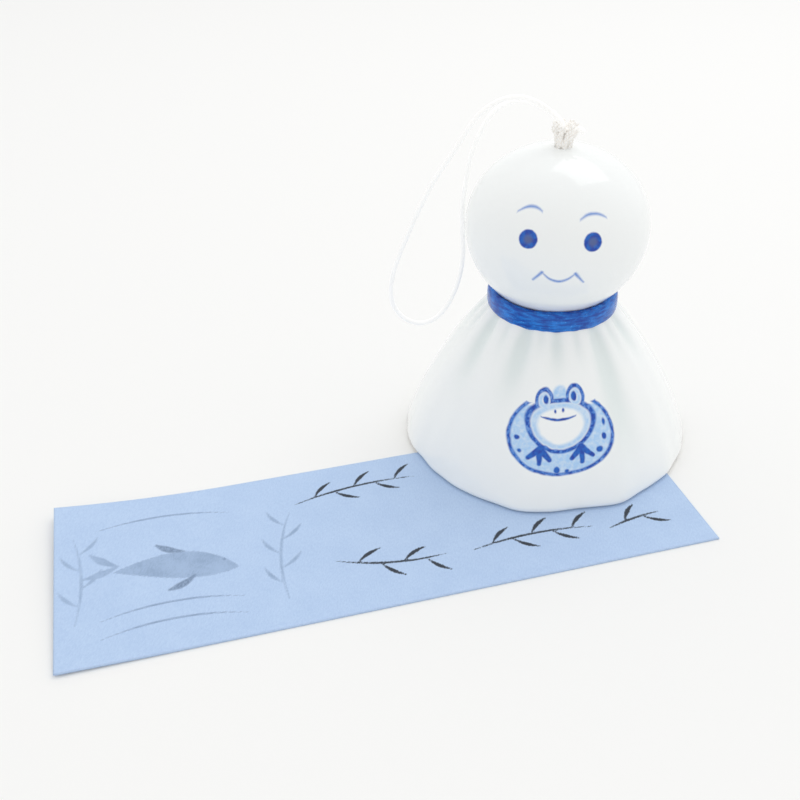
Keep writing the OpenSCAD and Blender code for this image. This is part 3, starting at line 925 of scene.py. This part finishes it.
THREAD_ROUTE = [
    (0, 0, 12.4), (0.1, 0, 9.6), (0, -0.4, 6.6), (-0.2, -1.4, 3.8), (0, -3.4, 1.8), (1.6, -6.4, 1.2),
    (4.4, -9, 1.1), (8.2, -9.6, 1.1), (11.6, -7.8, 1.1), (14.8, -7, 1.1), (17.8, -8.6, 1.1),
    (19.4, -11.8, 1.1), (20.4, -15.4, 1.1), (22.2, -18.4, 1.2), (24.6, -20.4, 1.4), (26.8, -22.1, 1.7),
]
path, run = eased(THREAD_ROUTE, 0.2)
thread = tube("vane_thread", path, twist_radius(run, LINE_D / 2, 18))
thread.data.materials.append(thread_white)
tie = small_knot("vane_tie_knot", "strip_knot", 0.45)
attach(tie, "strip_tie")
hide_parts("strip_thread")
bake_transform(thread)


# ---------------------------------------------------------------------------
# The paper strip: pale-blue dyed paper with short fibres in it, cut to a long
# oblong, its far end curling up a little. A plain fish over ripples, reeds and
# a few sprigs are brushed on it in thin grey and black ink.

STRIP_L = 171.0
STRIP_W = 60.0
STRIP_T = 0.4
STRIP_ANGLE = 24.0
HOLE_AT = (28.0, -23.0)
HOLE_INSET = 9.0
HOLE_R = 2.0
CURL_L = 50.0
CURL_R = 800.0
STRIP_ROWS, STRIP_COLUMNS = 346, 120


def strip_lift(s, t):
    """Height of the paper over the table at s along it from the hole's end and t across: an arc
    of the curl's radius at the far end, which twists up at the back corner and down at the front."""
    past = np.clip(s - (STRIP_L - CURL_L), 0, None)
    twist = (past / CURL_L) ** 2 * (-1.0 + 2.4 * np.clip(t / STRIP_W, 0, 1))
    return past ** 2 / (2 * CURL_R) + twist


def stroke_distance(s, t, route, widths):
    """Distance outside a brush line through the route's points, its width going from one value
    to the next. The route is smoothed and cut into short straight pieces."""
    line, run = eased([(a, b, 0) for a, b in route], 0.8)
    wide = np.interp(run / run[-1], np.linspace(0, 1, len(widths)), widths)
    best = np.full(s.shape, 1e3)
    for a, b, w in zip(line[:-1, :2], line[1:, :2], wide):
        step = b - a
        share = np.clip(((s - a[0]) * step[0] + (t - a[1]) * step[1]) / (step @ step), 0, 1)
        gap = np.hypot(s - a[0] - share * step[0], t - a[1] - share * step[1]) - w / 2
        best = np.minimum(best, gap)
    return best


# A plain fish over three ripples, grey reeds beside it and black sprigs. Places on the paper are in
# millimetres along it from the hole's end and across from its front edge, headings in degrees.
FISH_AT = (140, 30)
FISH_HEADING = 190
FISH_L = 32
FISH_HALF_W = 5
FISH_BEND = 2
FISH_TAIL_AT = (155, 33)
FISH_EYE_AT = (128, 29)
FIN_WIDTHS = (0.8, 2.6, 0.5)
STEM_WIDTHS = (0.4, 0.9, 0.8, 0.3)
LEAF_WIDTHS = (0.4, 1.4, 0.3)
RIPPLE_WIDTHS = (0.3, 0.8, 0.8, 0.3)
LEAF_L = 8
LEAF_ANGLE = 40
LEAF_BEND = 30


def bent_line(at, heading, length, bend, count=7):
    """Points along a brush line whose heading, in degrees, turns evenly by bend over its length."""
    turn = np.radians(heading + bend * (np.linspace(0, 1, count - 1) - 0.5))
    steps = np.stack([np.cos(turn), np.sin(turn)], 1) * length / (count - 1)
    return np.array(at, float) + np.concatenate([[[0, 0]], np.cumsum(steps, axis=0)])


def sprig(at, heading, length, bend, leaves):
    """Brush lines of a plain sprig: a stem, and leaves at even shares of it on alternate sides."""
    stem = bent_line(at, heading, length, bend, leaves + 2)
    lines = [(stem, STEM_WIDTHS)]
    for number in range(leaves):
        side = 1 if number % 2 else -1
        leaf = bent_line(stem[number + 1], heading + side * LEAF_ANGLE, LEAF_L, -side * LEAF_BEND)
        lines.append((leaf, LEAF_WIDTHS))
    return lines


def fish_body(s, t):
    """Distance outside a plain fish: its half width is a sine of the share from nose to tail,
    fuller towards the nose, about a line that bends in a parabola."""
    turn = math.radians(FISH_HEADING)
    along = 0.5 - ((s - FISH_AT[0]) * math.cos(turn) + (t - FISH_AT[1]) * math.sin(turn)) / FISH_L
    across = (t - FISH_AT[1]) * math.cos(turn) - (s - FISH_AT[0]) * math.sin(turn)
    across = across - FISH_BEND * (2 * along - 1) ** 2
    half = FISH_HALF_W * np.sin(np.pi * np.clip(along, 0, 1)) ** 0.8 * (1.3 - 0.6 * along)
    beside = np.abs(across) - half
    beyond = FISH_L * np.clip(np.abs(along - 0.5) - 0.5, 0, None)
    return np.hypot(np.clip(beside, 0, None), beyond) + np.clip(beside, None, 0)


FISH_TAIL = [(bent_line(FISH_TAIL_AT, heading, 9, 20), FIN_WIDTHS) for heading in (-20, 40)]
FISH_FINS = [(bent_line(at, heading, 8, 30), FIN_WIDTHS) for at, heading in (((138, 35), 30), ((136, 25), -30))]
RIPPLES = [(bent_line((160, t), 180, 36, 30), RIPPLE_WIDTHS) for t in (8, 14, 48)]
REEDS = sprig((114, 10), 100, 34, 25, 5) + sprig((166, 14), 90, 32, -20, 4)
SPRIGS = (
    sprig((106, 46), 175, 36, 20, 5) + sprig((100, 20), 190, 30, -25, 4)
    + sprig((64, 14), 180, 34, 20, 5) + sprig((26, 12), 170, 16, 10, 2)
)


def paper_grid(rows, columns):
    """The sheet as a grid of places: s along it from the hole's end and t across it, each point
    near the thread hole pushed out to the hole's edge."""
    s, t = np.meshgrid(np.linspace(0, STRIP_L, rows), np.linspace(0, STRIP_W, columns), indexing="ij")
    ds, dt = s - HOLE_INSET, t - STRIP_W / 2
    gap = np.hypot(ds, dt)
    near = gap < 2.6 * HOLE_R
    push = np.where(near, HOLE_R + (gap / (2.6 * HOLE_R)) * 1.6 * HOLE_R, gap)
    scale = np.where(near, push / np.maximum(gap, 1e-6), 1.0)
    return HOLE_INSET + ds * scale, STRIP_W / 2 + dt * scale


def on_table(s, t, height):
    """Places on the strip turned and moved to where the strip lies."""
    turn = math.radians(STRIP_ANGLE)
    along, across = HOLE_INSET - s, t - STRIP_W / 2
    return np.stack([
        HOLE_AT[0] + along * math.cos(turn) - across * math.sin(turn),
        HOLE_AT[1] + along * math.sin(turn) + across * math.cos(turn),
        height,
    ], -1)


s, t = paper_grid(STRIP_ROWS, STRIP_COLUMNS)
lift = strip_lift(s, t)
upper = on_table(s, t, lift + STRIP_T)
lower = on_table(s, t, lift)
count = STRIP_ROWS * STRIP_COLUMNS
number = np.arange(count).reshape(STRIP_ROWS, STRIP_COLUMNS)
quads = np.stack([number[:-1, :-1], number[1:, :-1], number[1:, 1:], number[:-1, 1:]], -1).reshape(-1, 4)
plain_s, plain_t = np.meshgrid(
    np.linspace(0, STRIP_L, STRIP_ROWS), np.linspace(0, STRIP_W, STRIP_COLUMNS), indexing="ij"
)
cell = np.hypot(plain_s - HOLE_INSET, plain_t - STRIP_W / 2)
solid = cell.ravel()[quads].mean(1) > 0.45
edge = np.concatenate([number[:, 0], number[-1, 1:], number[-2::-1, -1], number[0, -2:0:-1]])
following = np.roll(edge, -1)
sides = np.stack([edge, following, following + count, edge + count], 1)
faces = np.concatenate([quads[solid][:, ::-1], quads[solid] + count, sides])
strip = shown("vane_paper", np.concatenate([upper.reshape(-1, 3), lower.reshape(-1, 3)]), faces.tolist())

far = np.full(count, 50.0)
body = fish_body(s, t)
marks = {
    "ink_grey_wash": np.minimum.reduce([body] + [stroke_distance(s, t, *mark) for mark in FISH_TAIL + REEDS]),
    "ink_grey_deep": np.minimum.reduce([stroke_distance(s, t, *mark) for mark in FISH_FINS]),
    "ink_grey_line": np.minimum.reduce(
        [np.abs(body) - 0.15, np.hypot(s - FISH_EYE_AT[0], t - FISH_EYE_AT[1]) - 0.5]
        + [stroke_distance(s, t, *mark) for mark in RIPPLES]
    ),
    "ink_black": np.minimum.reduce([stroke_distance(s, t, *mark) for mark in SPRIGS]),
}
label(strip, {mark: np.concatenate([distance.ravel(), far]) for mark, distance in marks.items()})

paper = Finish("pale_blue_fibre_paper", Roughness=0.85)
x, y, z = paper.place()
fibres = paper.noise(paper.joined(x, y * 0.35, z), 2.6, 4.0, 0.7)
mottle = paper.noise(paper.joined(x, y, z), 0.11, 3.0, 0.6)
fine = paper.noise(paper.joined(x, y, z), 6.0, 2.0, 0.6)
tone = paper.ramp(fibres * 0.5 + mottle * 0.18 + fine * 0.32, 0.36, 0.64)
sheet_colour = paper.blend(tone, (0.43, 0.572, 0.81, 1), (0.515, 0.66, 0.885, 1))


def ink(name, bleed):
    """How strongly one ink covers the paper: full inside its marks, ragged at their edges."""
    gap = paper.node("ShaderNodeAttribute", {"attribute_name": name}, out="Fac")
    ragged = gap + (fine - 0.5) * 0.5 + (fibres - 0.5) * 0.6
    return paper.ramp(ragged, -bleed, bleed * 0.6, 1.0, 0.0)


GREY_WASH = (0.215, 0.31, 0.47, 1)
GREY_DEEP = (0.13, 0.19, 0.3, 1)
GREY_LINE = (0.17, 0.24, 0.38, 1)
INK_BLACK = (0.015, 0.017, 0.022, 1)
washed = ink("ink_grey_wash", 0.45) * paper.ramp(mottle * 0.5 + fibres * 0.5, 0.36, 0.62, 0.35, 0.75)
inked = paper.blend(washed, sheet_colour, GREY_WASH)
deepened = ink("ink_grey_deep", 0.45) * paper.ramp(fibres, 0.35, 0.6, 0.5, 0.85)
inked = paper.blend(deepened, inked, GREY_DEEP)
lined = ink("ink_grey_line", 0.3) * paper.ramp(fibres + fine * 0.3, 0.5, 0.75, 0.45, 0.8)
inked = paper.blend(lined, inked, GREY_LINE)
inked = paper.blend(ink("ink_black", 0.2) * 0.95, inked, INK_BLACK)
paper.paint("Base Color", inked)
paper.bump(fibres * 0.7 + fine * 0.3, 0.35, 0.0002)
strip.data.materials.append(paper.material)
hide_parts("paper_strip")
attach(strip, "strip")
